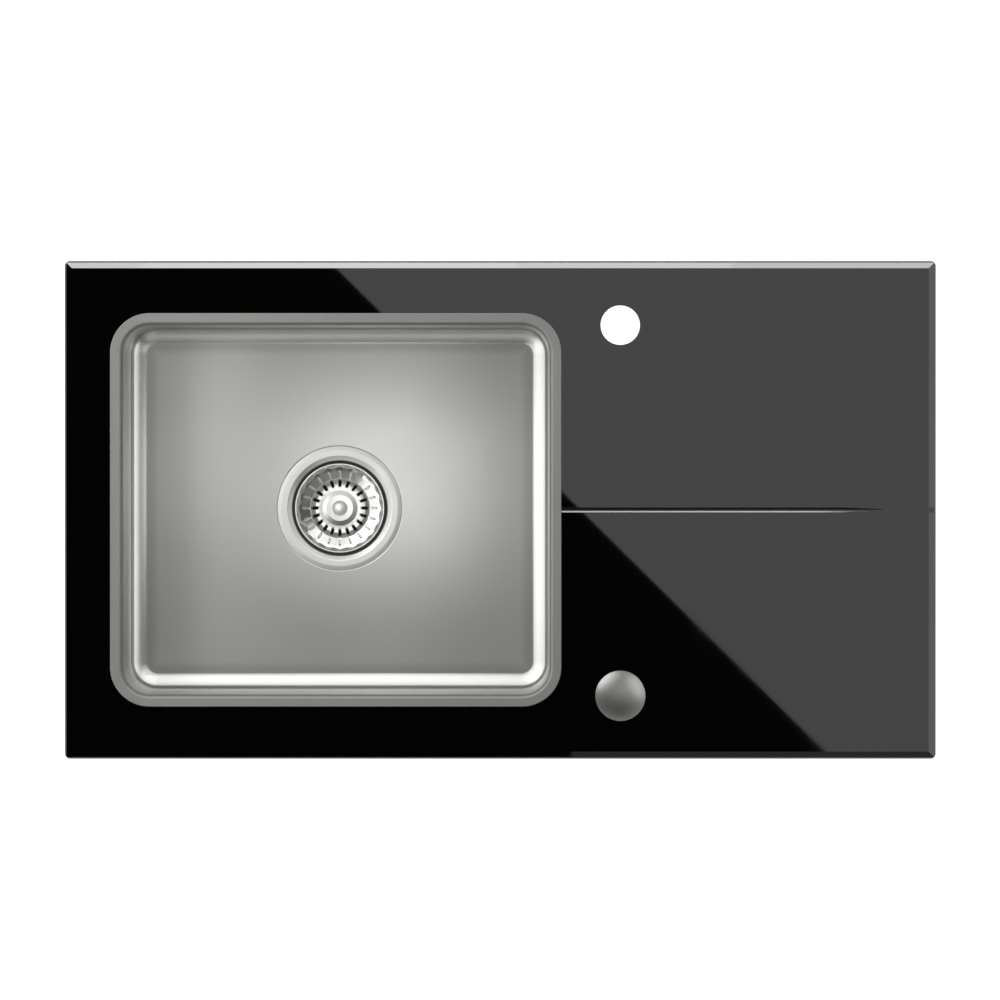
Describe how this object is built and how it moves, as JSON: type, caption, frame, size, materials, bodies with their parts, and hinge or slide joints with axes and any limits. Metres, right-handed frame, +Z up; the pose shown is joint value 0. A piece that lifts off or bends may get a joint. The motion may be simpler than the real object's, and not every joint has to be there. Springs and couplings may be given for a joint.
{
  "type": "inset kitchen sink",
  "caption": "Inset kitchen sink with a bevelled black glass top, a pressed steel bowl on the left, a drain groove, a tap hole and a knob that lifts the basket strainer through a cable.",
  "frame": {"origin": "plan centre of the glass top, on the seating plane under the seal strip, which is the worktop's upper face", "axes": "+X to the user's right along the length, +Y to the back, +Z up; the bowl is on the -X side, the user stands on the -Y side"},
  "size_m": [0.77, 0.44, 0.3173],
  "materials": {
    "black_glass": "tempered glass with a black back coat, polished face and ground edges",
    "brushed_bowl": "satin pressed stainless steel",
    "polished_steel": "soft polished stainless steel",
    "satin_steel": "satin",
    "plain_steel": "plain turned steel",
    "zinc_plate": "zinc plated sheet",
    "brass": "turned brass",
    "black_rubber": "matt rubber",
    "black_sealant": "cured sealant",
    "sound_pad": "pressed bitumen felt",
    "dark_plastic": "moulded",
    "grey_plastic": "moulded",
    "white_plastic": "moulded acetal"
  },
  "bodies": {
    "sink": {"glass_top": "black_glass", "seal_strip": "black_rubber", "support_frame": "zinc_plate", "clip_nuts": "zinc_plate", "rim_bead": "black_sealant", "bowl": "brushed_bowl", "sound_pads": "sound_pad", "flange_gasket": "black_rubber", "waste_flange": "polished_steel", "body_gasket": "black_rubber", "waste_body": "dark_plastic", "hollow_screw": "brass", "shaft_seal": "black_rubber", "lift_case": "grey_plastic", "lift_cover": "grey_plastic", "lift_cover_screws": "plain_steel", "cable_ferrules": "zinc_plate", "cable_sheath": "grey_plastic", "control_sleeve": "dark_plastic", "control_gasket": "black_rubber", "control_washer": "grey_plastic", "control_nut": "grey_plastic", "control_case": "grey_plastic", "control_cover": "grey_plastic", "control_cover_screws": "plain_steel"},
    "basket_plug": {"basket": "polished_steel", "basket_peg": "polished_steel", "basket_seal": "black_rubber", "stopper_washer": "black_rubber"},
    "lift_pin": {"lift_pin": "plain_steel"},
    "cam_set": {"cam_shaft": "plain_steel", "lift_cam": "white_plastic", "cam_pinion": "white_plastic"},
    "waste_rack_set": {"waste_rack": "white_plastic", "waste_wire": "plain_steel"},
    "knob_set": {"control_knob": "satin_steel", "knob_set_screw": "zinc_plate", "control_spindle": "plain_steel", "knob_pinion": "white_plastic"},
    "control_rack_set": {"control_rack": "white_plastic", "control_wire": "plain_steel"},
    "screw_1": {"clip_screw_1": "plain_steel"},
    "claw_1": {"clip_claw_1": "zinc_plate"},
    "screw_2": {"clip_screw_2": "plain_steel"},
    "claw_2": {"clip_claw_2": "zinc_plate"},
    "screw_3": {"clip_screw_3": "plain_steel"},
    "claw_3": {"clip_claw_3": "zinc_plate"},
    "screw_4": {"clip_screw_4": "plain_steel"},
    "claw_4": {"clip_claw_4": "zinc_plate"},
    "screw_5": {"clip_screw_5": "plain_steel"},
    "claw_5": {"clip_claw_5": "zinc_plate"},
    "screw_6": {"clip_screw_6": "plain_steel"},
    "claw_6": {"clip_claw_6": "zinc_plate"}
  },
  "joints": [
    {"name": "knob_turn", "type": "hinge", "parent": "sink", "child": "knob_set", "pos_m": [0.106, -0.1641, 0.01], "axis": [0, 0, -1], "range_deg": [0, 90]},
    {"name": "control_rack_slide", "type": "slide", "parent": "sink", "child": "control_rack_set", "axis": [0, -1, 0], "range_m": [0, 0.0111]},
    {"name": "waste_rack_slide", "type": "slide", "parent": "sink", "child": "waste_rack_set", "axis": [1, 0, 0], "range_m": [0, 0.0111]},
    {"name": "cam_turn", "type": "hinge", "parent": "sink", "child": "cam_set", "pos_m": [-0.1455, 0, -0.2433], "axis": [0, -1, 0], "range_deg": [0, 120.5]},
    {"name": "pin_lift", "type": "slide", "parent": "sink", "child": "lift_pin", "axis": [0, 0, 1], "range_m": [0, 0.0081]},
    {"name": "basket_draw", "type": "slide", "parent": "lift_pin", "child": "basket_plug", "axis": [0, 0, 1], "range_m": [0, 0.12]},
    {"name": "clip_1_clamp", "type": "slide", "parent": "sink", "child": "screw_1", "axis": [0, 0, 1], "range_m": [0, 0.0125]},
    {"name": "clip_1_swing", "type": "hinge", "parent": "screw_1", "child": "claw_1", "pos_m": [-0.2, -0.198, -0.043], "axis": [0, 0, -1], "range_deg": [0, 90]},
    {"name": "clip_2_clamp", "type": "slide", "parent": "sink", "child": "screw_2", "axis": [0, 0, 1], "range_m": [0, 0.0125]},
    {"name": "clip_2_swing", "type": "hinge", "parent": "screw_2", "child": "claw_2", "pos_m": [0.24, -0.198, -0.043], "axis": [0, 0, -1], "range_deg": [0, 90]},
    {"name": "clip_3_clamp", "type": "slide", "parent": "sink", "child": "screw_3", "axis": [0, 0, 1], "range_m": [0, 0.0125]},
    {"name": "clip_3_swing", "type": "hinge", "parent": "screw_3", "child": "claw_3", "pos_m": [0.363, 0, -0.043], "axis": [0, 0, -1], "range_deg": [0, 90]},
    {"name": "clip_4_clamp", "type": "slide", "parent": "sink", "child": "screw_4", "axis": [0, 0, 1], "range_m": [0, 0.0125]},
    {"name": "clip_4_swing", "type": "hinge", "parent": "screw_4", "child": "claw_4", "pos_m": [0.24, 0.198, -0.043], "axis": [0, 0, -1], "range_deg": [0, 90]},
    {"name": "clip_5_clamp", "type": "slide", "parent": "sink", "child": "screw_5", "axis": [0, 0, 1], "range_m": [0, 0.0125]},
    {"name": "clip_5_swing", "type": "hinge", "parent": "screw_5", "child": "claw_5", "pos_m": [-0.2, 0.198, -0.043], "axis": [0, 0, -1], "range_deg": [0, 90]},
    {"name": "clip_6_clamp", "type": "slide", "parent": "sink", "child": "screw_6", "axis": [0, 0, 1], "range_m": [0, 0.0125]},
    {"name": "clip_6_swing", "type": "hinge", "parent": "screw_6", "child": "claw_6", "pos_m": [-0.363, 0, -0.043], "axis": [0, 0, -1], "range_deg": [0, 90]}
  ],
  "couplings": [
    {"joint": "control_rack_slide", "follows": "knob_turn", "m_per_rad": 0.007},
    {"joint": "waste_rack_slide", "follows": "knob_turn", "m_per_rad": 0.007},
    {"joint": "cam_turn", "follows": "knob_turn", "ratio": 1.3333},
    {"joint": "pin_lift", "follows": "knob_turn", "m_per_rad": 0.005093}
  ]
}
